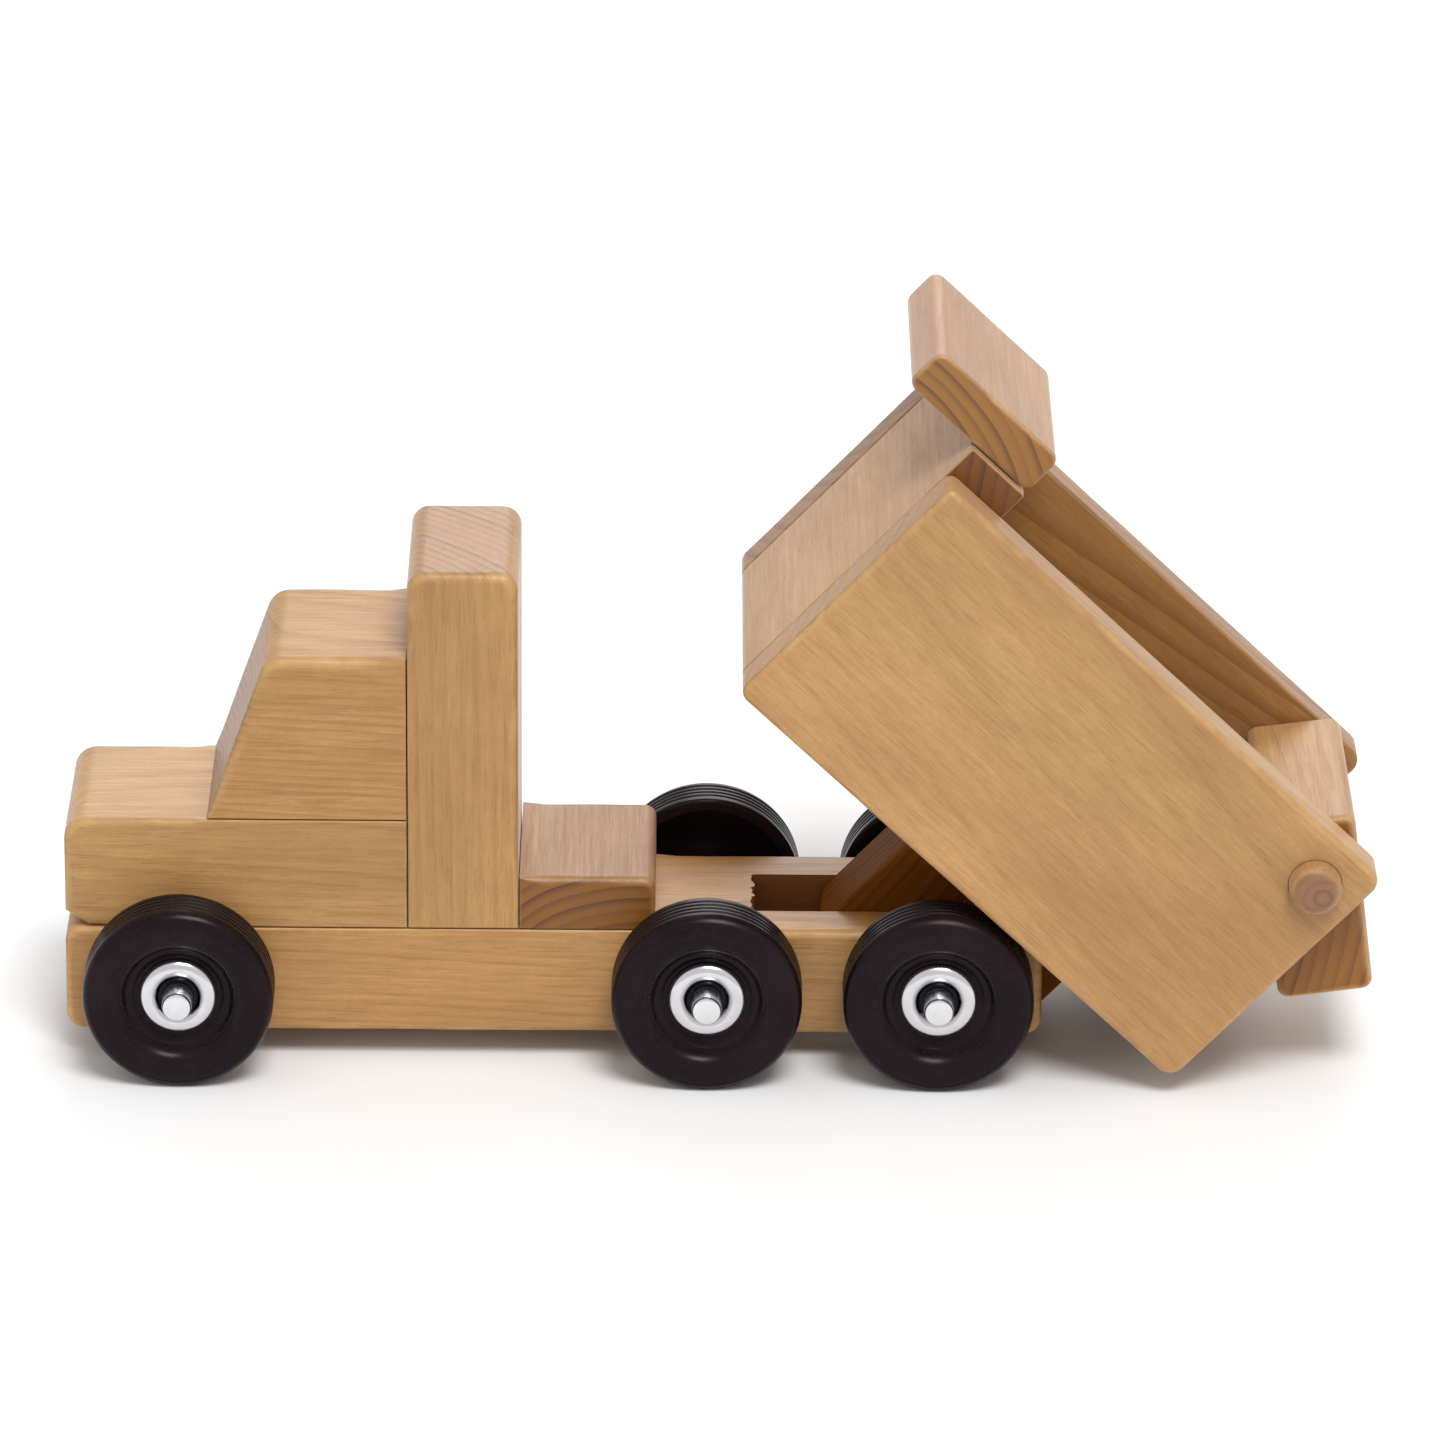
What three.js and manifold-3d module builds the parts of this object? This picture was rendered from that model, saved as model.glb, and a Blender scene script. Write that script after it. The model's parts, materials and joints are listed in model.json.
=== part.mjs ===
// A wooden toy dump truck: a chassis with six wheels on three steel axles, a cab glued up from blocks,
// and a tipping bed that turns on the rear axle, with a tailgate that swings on a wooden dowel.
//
// Millimetres, +Z up. The front of the truck faces -X and its left side faces -Y. The origin is on the
// ground under the middle of the truck. The bed is drawn raised, resting on the end of the chassis.

import * as THREE from "three";
import { mergeVertices } from "three/addons/utils/BufferGeometryUtils.js";
import Module from "manifold-3d";

const wasm = await Module();
wasm.setup();

// ---------------------------------------------------------------- driving dimensions

const GAP = 0.3; // left between pieces that touch
const EDGE = 2; // the rounding of a long wooden edge
const CORNER = 4.5; // the rounding of a board's corner
const SMALL_CORNER = 2.5; // of a short board's corner
const INNER_EDGE = 0.8; // of the boards that fit between the bed's sides
const OVERSHOOT = 1; // how far a cutting tool runs past the wood

const BODY_WIDTH = 52.6;
const WHEEL_RADIUS = 25.4;
const ROD_RADIUS = 7.94 / 2; // a 5/16 inch rod
const ROD_CHAMFER = 0.8;
const ROD_LENGTH = 103.2;
const BORE_RADIUS = 4.3; // the hole that the rod turns in

// Places along X, from the middle axle.
const MIDDLE_AXLE_X = -3.03; // the middle axle, seen from the truck's origin
const AXLES = { front: -140.5, middle: 0, rear: 61.6 };
const CHASSIS_X = [-171.4, 89.8];
const SLOT_START_X = 12.5;
const CAB_REAR_X = -80.1;
const PANEL_X = [-79.8, -50.4];
const DECK_X = [-50.1, -13.9];

// Heights.
const AXLE_Z = WHEEL_RADIUS;
const CHASSIS_Z = [7.7, 37.7];
const HOOD_TOP_Z = 68.9;
const CAB_TOP_Z = 115.1;
const PANEL_TOP_Z = 139.5;
const DECK_TOP_Z = 52.8;

const WINDSHIELD_FOOT_X = -133.2;
const WINDSHIELD_TOP_X = -117;
const HOOD_CHAMFER = [6, 4]; // under the front of the hood, along X and Z
const HOOD_SETBACK = 0.1; // behind the front of the chassis
const BLOCK_CORNER = 6; // the rounding of the hood's and the cab's front top corner
const CAB_EDGE = 3;
const PANEL_EDGE = 2.5;
const PANEL_CORNER = 5;

const HINGE_BLOCK_WIDTH = 24;
const SLOT_WIDTH = 24.8;

// The bed, in its own frame: the origin is on the hinge, +X runs rearward along the floor, +Z up.
const BED_TILT = THREE.MathUtils.degToRad(43.53);
const BED_X = [-101.2, 59.2];
const BED_BOTTOM_Z = 27.7;
const BED_SIDE_HEIGHT = 80;
const BED_WIDTH = 96.7;
const BED_SIDE_THICKNESS = 12.7;
const FRONT_PANEL_THICKNESS = 19;
const FRONT_PANEL_HEIGHT = 88.5;
const FLOOR_THICKNESS = 25.4;
const VISOR_X = [-125.6, -81.7];
const VISOR_THICKNESS = 12.7;
const VISOR_WIDTH = 66;
const HINGE_BLOCK_X = [-28.2, 30.6];
const HINGE_BLOCK_DROP = 16.9; // below the hinge
const HINGE_BLOCK_CHAMFER = 17.5; // keeps its rear corner off the ground
const HINGE_BLOCK_EDGE = 1;

// The tailgate, from the centre of its dowel.
const DOWEL_AT = [46.3, 94.5]; // in the bed's frame
const DOWEL_RADIUS = 7;
const DOWEL_HOLE_RADIUS = 7.44;
const DOWEL_LENGTH = 108.6;
const DOWEL_CHAMFER = 2.4;
const TAILGATE_SWING = THREE.MathUtils.degToRad(51.03); // open from the closed position
const TAILGATE_THICKNESS = 25.4;
const TAILGATE_ABOVE = 12.7;
const TAILGATE_BELOW = 38.1;
const TAILGATE_CORNER = 3; // also of the bed floor's rear end
const TAILGATE_WIDTH = 70;

// Fasteners.
const SCREW_HEAD_RADIUS = 4;
const SCREW_RADIUS = 2.1;
const SCREW_TIP = 5; // the length of the pointed end
const SCREW_LENGTH = 38;
const SCREW_RECESS = 0.5; // how deep the head sits below the wood
const PIN_RADIUS = 3.2;
const PIN_LENGTH = 22;
const VISOR_PIN_DROP = 2; // the middle of a visor pin, below the top of the front panel

// Outlines that are turned about an axle, as [radius, distance along Y from the truck's middle]. The
// wheel's goes outward over its dished inside, rim and tread, and back over its face.
const WHEEL_OUTLINE = [
  [BORE_RADIUS, 27.9],
  [8.5, 27.9],
  [9.2, 39],
  [20.5, 39],
  [21.8, 33],
  [24.4, 33],
  [WHEEL_RADIUS, 34.2],
  [WHEEL_RADIUS, 45.6],
  [24.4, 47.3],
  [22, 48.1],
  [15.5, 48],
  [13.4, 46],
  [12.9, 42.6],
  [BORE_RADIUS, 42.6],
  [BORE_RADIUS, 27.9],
];
const CAP_OUTLINE = [
  [BORE_RADIUS, 42.9],
  [9.8, 42.9],
  [10.4, 43.4],
  [9.7, 44.9],
  [7.6, 45.5],
  [5.8, 44.7],
  [BORE_RADIUS, 43.9],
  [BORE_RADIUS, 42.9],
];
const WASHER_OUTLINE = [
  [BORE_RADIUS, 26.6],
  [8, 26.6],
  [8, 27.6],
  [BORE_RADIUS, 27.6],
  [BORE_RADIUS, 26.6],
];

// How finely round shapes are cut into flats.
const WHEEL_SEGMENTS = 28;
const ROD_SEGMENTS = 16;
const SMALL_SEGMENTS = 12;
const ARC_SEGMENTS = 4;

// ---------------------------------------------------------------- materials

function material(color, roughness, metalness = 0) {
  return new THREE.MeshStandardMaterial({ color, roughness, metalness });
}

const WOOD = 0xbe9059;
const DARK_WOOD = 0x9a6a40;
const STEEL = 0xc9cace;
const TYRE = 0x241d1f;

const wood = () => material(WOOD, 0.5);
const darkWood = () => material(DARK_WOOD, 0.55);
const steel = () => material(STEEL, 0.25, 1);
const tyre = () => material(TYRE, 0.45);

// ---------------------------------------------------------------- solids

// The closed geometry as a solid that can be cut.
function solid(geometry) {
  const bare = new THREE.BufferGeometry();
  bare.setAttribute("position", geometry.getAttribute("position"));
  bare.setIndex(geometry.index);
  const merged = mergeVertices(bare, 1e-4);
  return new wasm.Manifold(
    new wasm.Mesh({
      numProp: 3,
      vertProperties: merged.attributes.position.array,
      triVerts: new Uint32Array(merged.index.array),
    }),
  );
}

function cut(geometry, tools) {
  const left = tools.reduce((body, tool) => body.subtract(solid(tool)), solid(geometry));
  const mesh = left.getMesh();
  const made = new THREE.BufferGeometry();
  made.setAttribute("position", new THREE.BufferAttribute(mesh.vertProperties, 3));
  made.setIndex(new THREE.BufferAttribute(mesh.triVerts, 1));
  made.computeVertexNormals();
  return made;
}

// An outline with rounded corners, each [x, z, radius], in counter-clockwise order.
function outline(corners) {
  const shape = new THREE.Shape();
  corners.forEach(([x, z, radius], i) => {
    const here = new THREE.Vector2(x, z);
    const before = corners.at(i - 1);
    const after = corners[(i + 1) % corners.length];
    const back = new THREE.Vector2(before[0], before[1]).sub(here).normalize();
    const on = new THREE.Vector2(after[0], after[1]).sub(here).normalize();
    const half = Math.acos(back.dot(on)) / 2;
    const middle = back.clone().add(on).normalize();
    const centre = here.clone().addScaledVector(middle, radius / Math.sin(half));
    const start = here.clone().addScaledVector(back, radius / Math.tan(half));
    const end = here.clone().addScaledVector(on, radius / Math.tan(half));
    const from = start.sub(centre).angle();
    const to = end.sub(centre).angle();
    if (radius > 0) shape.absarc(centre.x, centre.y, radius, from, to, false);
    else if (i > 0) shape.lineTo(x, z);
    else shape.moveTo(x, z);
  });
  shape.closePath();
  return shape;
}

// A board or block: an outline in the X-Z plane, given a width along Y about the plane Y = middle.
function block(corners, width, { edge = EDGE, middle = 0 } = {}) {
  const depth = width - 2 * edge;
  const geometry = new THREE.ExtrudeGeometry(outline(corners), {
    depth,
    bevelThickness: edge,
    bevelSize: edge,
    bevelOffset: -edge,
    bevelSegments: 1,
    curveSegments: ARC_SEGMENTS,
  });
  geometry.translate(0, 0, -depth / 2);
  geometry.rotateX(Math.PI / 2);
  geometry.translate(0, middle, 0);
  return geometry;
}

// The corners of a rectangle, with one radius or four, from the low X, low Z corner.
function rectangle([x0, x1], [z0, z1], radius = CORNER) {
  const [a, b, c, d] = Array.isArray(radius) ? radius : Array(4).fill(radius);
  return [
    [x0, z0, a],
    [x1, z0, b],
    [x1, z1, c],
    [x0, z1, d],
  ];
}

// A turned shape about the Y axis: its outline is [radius, y] points.
function turned(points, segments) {
  return new THREE.LatheGeometry(
    points.map(([radius, y]) => new THREE.Vector2(radius, y)),
    segments,
  );
}

// A hole along Y through the X-Z point.
function crossHole(radius, length, x, z) {
  return new THREE.CylinderGeometry(radius, radius, length, ROD_SEGMENTS).translate(x, 0, z);
}

// ---------------------------------------------------------------- fasteners

// A countersunk wood screw along Z with its head at the origin, and the hole that it fills.
function screwShape(spare) {
  const shank = SCREW_RADIUS + spare;
  const head = SCREW_HEAD_RADIUS + spare;
  const bottom = spare > 0 ? -OVERSHOOT : 0;
  const points = [
    [0, bottom],
    [head, bottom],
    [head, 0.4 + spare],
    [shank, 2.4 + spare],
    [shank, SCREW_LENGTH - SCREW_TIP],
    [0, SCREW_LENGTH + spare],
  ];
  return turned(points, SMALL_SEGMENTS).rotateX(Math.PI / 2);
}

function pinShape(spare) {
  const radius = PIN_RADIUS + spare;
  const length = PIN_LENGTH + 2 * spare;
  return new THREE.CylinderGeometry(radius, radius, length, SMALL_SEGMENTS).rotateX(Math.PI / 2);
}

// Screws driven up from under the chassis: their names, and their places in X and Y.
const SCREW_Z = CHASSIS_Z[0] + SCREW_RECESS;
const SIDEWAYS = 14;
const CHASSIS_SCREWS = {
  screw_hood_front: [-158, 0],
  screw_hood_rear: [-108, 0],
  screw_panel_left: [-65, -SIDEWAYS],
  screw_panel_right: [-65, SIDEWAYS],
  screw_deck_left: [-32, -SIDEWAYS],
  screw_deck_right: [-32, SIDEWAYS],
};
const CAB_PINS = { pin_cab_front: -119, pin_cab_rear: -93 };
const CAB_PIN_Z = HOOD_TOP_Z + GAP / 2;

const HINGE_SCREWS = { screw_hinge_front: -16.5, screw_hinge_rear: 18.5 };
const VISOR_PINS = { pin_visor_left: -16, pin_visor_right: 16 };
const VISOR_PIN_AT = [BED_X[0] + FRONT_PANEL_THICKNESS / 2, BED_BOTTOM_Z + FRONT_PANEL_HEIGHT - VISOR_PIN_DROP];

const chassisScrewHoles = () =>
  Object.values(CHASSIS_SCREWS).map(([x, y]) => screwShape(GAP).translate(x, y, SCREW_Z));

const cabPinHoles = () =>
  Object.values(CAB_PINS).map((x) => pinShape(GAP).translate(x, 0, CAB_PIN_Z));

const hingeScrewHoles = () =>
  Object.values(HINGE_SCREWS).map((x) =>
    screwShape(GAP)
      .rotateX(Math.PI)
      .translate(x, 0, BED_BOTTOM_Z + FLOOR_THICKNESS - SCREW_RECESS),
  );

const visorPinHoles = () =>
  Object.values(VISOR_PINS).map((y) => pinShape(GAP).translate(VISOR_PIN_AT[0], y, VISOR_PIN_AT[1]));

// ---------------------------------------------------------------- the body

// The long base board, with a slot open at the rear for the bed's hinge block.
function chassis() {
  const board = block(rectangle(CHASSIS_X, CHASSIS_Z, [CORNER, CORNER, SMALL_CORNER, CORNER]), BODY_WIDTH);
  const slotEnd = CHASSIS_X[1] + OVERSHOOT;
  const slot = new THREE.BoxGeometry(slotEnd - SLOT_START_X, SLOT_WIDTH, CHASSIS_Z[1] + OVERSHOOT);
  slot.translate((SLOT_START_X + slotEnd) / 2, 0, (CHASSIS_Z[1] + OVERSHOOT) / 2 + CHASSIS_Z[0] / 2);
  const bores = Object.values(AXLES).map((x) => crossHole(BORE_RADIUS, 2 * BODY_WIDTH, x, AXLE_Z));
  return cut(board, [slot, ...bores, ...chassisScrewHoles()]);
}

function hoodBlock() {
  const x0 = CHASSIS_X[0] + HOOD_SETBACK;
  const z0 = CHASSIS_Z[1] + GAP;
  const [chamferX, chamferZ] = HOOD_CHAMFER;
  const corners = [
    [x0 + chamferX, z0, 0],
    [CAB_REAR_X, z0, 0],
    [CAB_REAR_X, HOOD_TOP_Z, 0],
    [x0, HOOD_TOP_Z, BLOCK_CORNER],
    [x0, z0 + chamferZ, 0],
  ];
  return cut(block(corners, BODY_WIDTH), [...chassisScrewHoles(), ...cabPinHoles()]);
}

function cabBlock() {
  const z0 = HOOD_TOP_Z + GAP;
  const corners = [
    [WINDSHIELD_FOOT_X, z0, 0],
    [CAB_REAR_X, z0, 0],
    [CAB_REAR_X, CAB_TOP_Z, 0],
    [WINDSHIELD_TOP_X, CAB_TOP_Z, BLOCK_CORNER],
  ];
  return cut(block(corners, BODY_WIDTH, { edge: CAB_EDGE }), cabPinHoles());
}

function cabBackPanel() {
  const corners = rectangle(PANEL_X, [CHASSIS_Z[1] + GAP, PANEL_TOP_Z], [0, 0, PANEL_CORNER, PANEL_CORNER]);
  return cut(block(corners, BODY_WIDTH, { edge: PANEL_EDGE }), chassisScrewHoles());
}

// The low block that carries the bed when it is down.
function deckBlock() {
  const corners = rectangle(DECK_X, [CHASSIS_Z[1] + GAP, DECK_TOP_Z], [0, 0, SMALL_CORNER, 0]);
  return cut(block(corners, BODY_WIDTH), chassisScrewHoles());
}

// ---------------------------------------------------------------- wheels and axles

function axle() {
  const end = ROD_LENGTH / 2;
  const points = [
    [0, -end],
    [ROD_RADIUS - ROD_CHAMFER, -end],
    [ROD_RADIUS, -end + ROD_CHAMFER],
    [ROD_RADIUS, end - ROD_CHAMFER],
    [ROD_RADIUS - ROD_CHAMFER, end],
    [0, end],
  ];
  return turned(points, ROD_SEGMENTS);
}

// Rim, tread and hub in one piece.
function wheel() {
  return turned(WHEEL_OUTLINE, WHEEL_SEGMENTS);
}

// A push-on steel cap, domed, with a dimple round the end of the rod.
function axleCap() {
  return turned(CAP_OUTLINE, ROD_SEGMENTS);
}

function washer() {
  return turned(WASHER_OUTLINE, ROD_SEGMENTS);
}

// ---------------------------------------------------------------- the bed

const INNER_WIDTH = BED_WIDTH - 2 * BED_SIDE_THICKNESS;

function bedSide(side) {
  const corners = rectangle(BED_X, [BED_BOTTOM_Z, BED_BOTTOM_Z + BED_SIDE_HEIGHT]);
  const middle = (side * (BED_WIDTH - BED_SIDE_THICKNESS)) / 2;
  const board = block(corners, BED_SIDE_THICKNESS, { middle });
  return cut(board, [crossHole(DOWEL_HOLE_RADIUS, 2 * BED_WIDTH, ...DOWEL_AT)]);
}

function bedFrontPanel() {
  const alongX = [BED_X[0], BED_X[0] + FRONT_PANEL_THICKNESS];
  const alongZ = [BED_BOTTOM_Z, BED_BOTTOM_Z + FRONT_PANEL_HEIGHT];
  const board = block(rectangle(alongX, alongZ, SMALL_CORNER), INNER_WIDTH - 2 * GAP, { edge: INNER_EDGE });
  return cut(board, visorPinHoles());
}

function bedFloor() {
  const alongX = [BED_X[0] + FRONT_PANEL_THICKNESS + GAP, BED_X[1]];
  const alongZ = [BED_BOTTOM_Z, BED_BOTTOM_Z + FLOOR_THICKNESS];
  const corners = rectangle(alongX, alongZ, [0, TAILGATE_CORNER, TAILGATE_CORNER, 0]);
  const board = block(corners, INNER_WIDTH - 2 * GAP, { edge: INNER_EDGE });
  return cut(board, hingeScrewHoles());
}

function bedVisor() {
  const z0 = BED_BOTTOM_Z + FRONT_PANEL_HEIGHT + GAP;
  const corners = rectangle(VISOR_X, [z0, z0 + VISOR_THICKNESS], SMALL_CORNER);
  return cut(block(corners, VISOR_WIDTH), visorPinHoles());
}

// The block under the floor that turns on the rear axle.
function hingeBlock() {
  const [x0, x1] = HINGE_BLOCK_X;
  const top = BED_BOTTOM_Z - GAP;
  const corners = [
    [x0, -HINGE_BLOCK_DROP, SMALL_CORNER],
    [x1 - HINGE_BLOCK_CHAMFER, -HINGE_BLOCK_DROP, 0],
    [x1, -HINGE_BLOCK_DROP + HINGE_BLOCK_CHAMFER, 0],
    [x1, top, 0],
    [x0, top, 0],
  ];
  const board = block(corners, HINGE_BLOCK_WIDTH, { edge: HINGE_BLOCK_EDGE });
  return cut(board, [crossHole(BORE_RADIUS, 2 * HINGE_BLOCK_WIDTH, 0, 0), ...hingeScrewHoles()]);
}

function tailgate() {
  const half = TAILGATE_THICKNESS / 2;
  const corners = rectangle([-half, half], [-TAILGATE_BELOW, TAILGATE_ABOVE], TAILGATE_CORNER);
  return cut(block(corners, TAILGATE_WIDTH), [crossHole(DOWEL_HOLE_RADIUS, 2 * TAILGATE_WIDTH, 0, 0)]);
}

function tailgateDowel() {
  const end = DOWEL_LENGTH / 2;
  const points = [
    [0, -end],
    [DOWEL_RADIUS - DOWEL_CHAMFER, -end],
    [DOWEL_RADIUS, -end + DOWEL_CHAMFER],
    [DOWEL_RADIUS, end - DOWEL_CHAMFER],
    [DOWEL_RADIUS - DOWEL_CHAMFER, end],
    [0, end],
  ];
  return turned(points, ROD_SEGMENTS);
}

// ---------------------------------------------------------------- the assembly

function add(group, name, geometry, look) {
  const mesh = new THREE.Mesh(geometry, look);
  mesh.name = name;
  group.add(mesh);
  return mesh;
}

function body() {
  const group = new THREE.Group();
  add(group, "chassis", chassis(), wood());
  add(group, "hood_block", hoodBlock(), wood());
  add(group, "cab_block", cabBlock(), wood());
  add(group, "cab_back_panel", cabBackPanel(), wood());
  add(group, "deck_block", deckBlock(), wood());
  for (const [name, [x, y]] of Object.entries(CHASSIS_SCREWS)) {
    add(group, name, screwShape(0), steel()).position.set(x, y, SCREW_Z);
  }
  for (const [name, x] of Object.entries(CAB_PINS)) {
    add(group, name, pinShape(0), darkWood()).position.set(x, 0, CAB_PIN_Z);
  }
  return group;
}

function wheelset(place, x) {
  const group = new THREE.Group();
  group.position.set(x, 0, AXLE_Z);
  add(group, `${place}_axle`, axle(), steel());
  const halfTurns = { left: Math.PI, right: 0 };
  for (const [side, halfTurn] of Object.entries(halfTurns)) {
    add(group, `wheel_${place}_${side}`, wheel(), tyre()).rotation.z = halfTurn;
    add(group, `axle_cap_${place}_${side}`, axleCap(), steel()).rotation.z = halfTurn;
    add(group, `washer_${place}_${side}`, washer(), steel()).rotation.z = halfTurn;
  }
  return group;
}

function bed() {
  const group = new THREE.Group();
  group.position.set(AXLES.rear, 0, AXLE_Z);
  group.rotation.y = BED_TILT;
  add(group, "bed_side_left", bedSide(-1), wood());
  add(group, "bed_side_right", bedSide(1), wood());
  add(group, "bed_front_panel", bedFrontPanel(), wood());
  add(group, "bed_floor", bedFloor(), wood());
  add(group, "bed_visor", bedVisor(), wood());
  add(group, "hinge_block", hingeBlock(), wood());
  for (const [name, x] of Object.entries(HINGE_SCREWS)) {
    const screw = add(group, name, screwShape(0), steel());
    screw.position.set(x, 0, BED_BOTTOM_Z + FLOOR_THICKNESS - SCREW_RECESS);
    screw.rotation.x = Math.PI;
  }
  for (const [name, y] of Object.entries(VISOR_PINS)) {
    add(group, name, pinShape(0), darkWood()).position.set(VISOR_PIN_AT[0], y, VISOR_PIN_AT[1]);
  }
  const gate = new THREE.Group();
  gate.position.set(DOWEL_AT[0], 0, DOWEL_AT[1]);
  gate.rotation.y = -TAILGATE_SWING;
  add(gate, "tailgate", tailgate(), wood());
  add(gate, "tailgate_dowel", tailgateDowel(), darkWood());
  group.add(gate);
  return group;
}

const truck = new THREE.Group();
truck.name = "toy_dump_truck";
const parts = new THREE.Group();
parts.position.x = MIDDLE_AXLE_X;
parts.add(body(), bed());
for (const [place, x] of Object.entries(AXLES)) parts.add(wheelset(place, x));
truck.add(parts);

export default truck;
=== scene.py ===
"""The looks of a wooden toy dump truck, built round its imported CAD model. Blender 4.5, metres, +Z up.

The truck faces -X and its left side faces -Y. Each wooden piece is made in its own board frame, where
X, Y and Z run along the board as it was cut, so that grain and end grain follow the piece.
"""

import json
import math
import random

import bpy
from mathutils import Matrix, Vector, noise


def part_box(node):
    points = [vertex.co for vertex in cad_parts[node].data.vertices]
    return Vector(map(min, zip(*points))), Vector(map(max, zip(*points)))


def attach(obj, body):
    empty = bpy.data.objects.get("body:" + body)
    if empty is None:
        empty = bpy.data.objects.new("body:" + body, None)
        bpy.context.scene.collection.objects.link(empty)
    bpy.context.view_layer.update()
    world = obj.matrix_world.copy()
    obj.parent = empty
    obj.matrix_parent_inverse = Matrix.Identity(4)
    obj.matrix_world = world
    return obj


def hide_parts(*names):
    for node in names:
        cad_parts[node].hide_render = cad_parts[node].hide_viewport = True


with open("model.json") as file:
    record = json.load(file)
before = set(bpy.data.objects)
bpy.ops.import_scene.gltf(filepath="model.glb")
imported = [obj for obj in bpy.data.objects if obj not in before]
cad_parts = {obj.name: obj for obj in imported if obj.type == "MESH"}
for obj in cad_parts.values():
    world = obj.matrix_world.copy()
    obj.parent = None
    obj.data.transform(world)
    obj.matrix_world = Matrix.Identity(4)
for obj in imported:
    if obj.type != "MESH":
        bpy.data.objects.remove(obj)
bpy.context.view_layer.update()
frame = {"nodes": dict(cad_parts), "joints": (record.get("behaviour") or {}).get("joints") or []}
scene = bpy.context.scene

MM = 0.001


# ---------------------------------------------------------------- places that come from the frame

JOINTS = {joint["name"]: joint for joint in frame["joints"]}
HINGE = Vector(JOINTS["bed_tip"]["pos_m"])
GATE_PIVOT = Vector(JOINTS["tailgate_swing"]["pos_m"])
AXLES = {
    place: Vector(JOINTS[f"{place}_axle_turn"]["pos_m"]) for place in ("front", "middle", "rear")
}

BED_TILT = math.radians(43.53)
GATE_SWING = math.radians(51.03)
GATE_LEAN = BED_TILT - GATE_SWING
BED_FRAME = Matrix.Translation(HINGE) @ Matrix.Rotation(BED_TILT, 4, "Y")
GATE_FRAME = Matrix.Translation(GATE_PIVOT) @ Matrix.Rotation(GATE_LEAN, 4, "Y")
WORLD_FRAME = Matrix.Identity(4)


# ---------------------------------------------------------------- camera and light

CAMERA_PLACE = Vector((-7.71, -2295.3, 1034.2)) * MM
CAMERA_YAW = math.radians(0.21)
CAMERA_PITCH = math.radians(22.42)
CAMERA_ROLL = math.radians(0.49)
CAMERA_LENS = 231.2

DOME_LIGHT = 0.74
KEY_POWER = 225
BACK_POWER = 44
SOFTBOX_SIZE = 2.4
KEY_PLACE = (0.9, -2.8, 4.9)
BACK_PLACE = (0.3, 3.2, 2.2)
LIGHT_TARGET = (0, 0, 0.08)
FLOOR_SIZE = 40
FLOOR_COLOUR = 0.82


def add_camera():
    data = bpy.data.cameras.new("camera")
    data.lens = CAMERA_LENS
    data.sensor_width = 36
    data.clip_start = 0.1
    data.clip_end = 100
    camera = bpy.data.objects.new("camera", data)
    scene.collection.objects.link(camera)
    ahead = Vector((
        math.sin(CAMERA_YAW) * math.cos(CAMERA_PITCH),
        math.cos(CAMERA_YAW) * math.cos(CAMERA_PITCH),
        -math.sin(CAMERA_PITCH),
    ))
    level = Vector((math.cos(CAMERA_YAW), -math.sin(CAMERA_YAW), 0))
    upright = level.cross(ahead)
    right = level * math.cos(CAMERA_ROLL) + upright * math.sin(CAMERA_ROLL)
    up = right.cross(ahead)
    turn = Matrix((right, up, -ahead)).transposed().to_4x4()
    camera.matrix_world = Matrix.Translation(CAMERA_PLACE) @ turn
    scene.camera = camera


def add_softbox(name, place, power):
    data = bpy.data.lights.new(name, "AREA")
    data.shape = "DISK"
    data.size = SOFTBOX_SIZE
    data.energy = power
    light = bpy.data.objects.new(name, data)
    light.location = place
    light.rotation_euler = (Vector(LIGHT_TARGET) - Vector(place)).to_track_quat("-Z", "Y").to_euler()
    scene.collection.objects.link(light)


def add_floor():
    bpy.ops.mesh.primitive_plane_add(size=FLOOR_SIZE, location=(0, 0, 0))
    floor = bpy.context.object
    floor.name = "floor"
    material = bpy.data.materials.new("floor")
    material.use_nodes = True
    shader = material.node_tree.nodes["Principled BSDF"]
    shader.inputs["Base Color"].default_value = (FLOOR_COLOUR, FLOOR_COLOUR, FLOOR_COLOUR, 1)
    shader.inputs["Roughness"].default_value = 0.9
    shader.inputs["Specular IOR Level"].default_value = 0.1
    floor.data.materials.append(material)


def add_studio():
    """An even white dome, a large softbox in front and one behind, over a pale floor."""
    world = bpy.data.worlds.new("studio")
    scene.world = world
    world.use_nodes = True
    background = world.node_tree.nodes["Background"]
    background.inputs["Color"].default_value = (1, 1, 1, 1)
    background.inputs["Strength"].default_value = DOME_LIGHT
    add_softbox("key", KEY_PLACE, KEY_POWER)
    add_softbox("back", BACK_PLACE, BACK_POWER)
    add_floor()
    scene.view_settings.view_transform = "Standard"


# ---------------------------------------------------------------- material graphs

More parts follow.
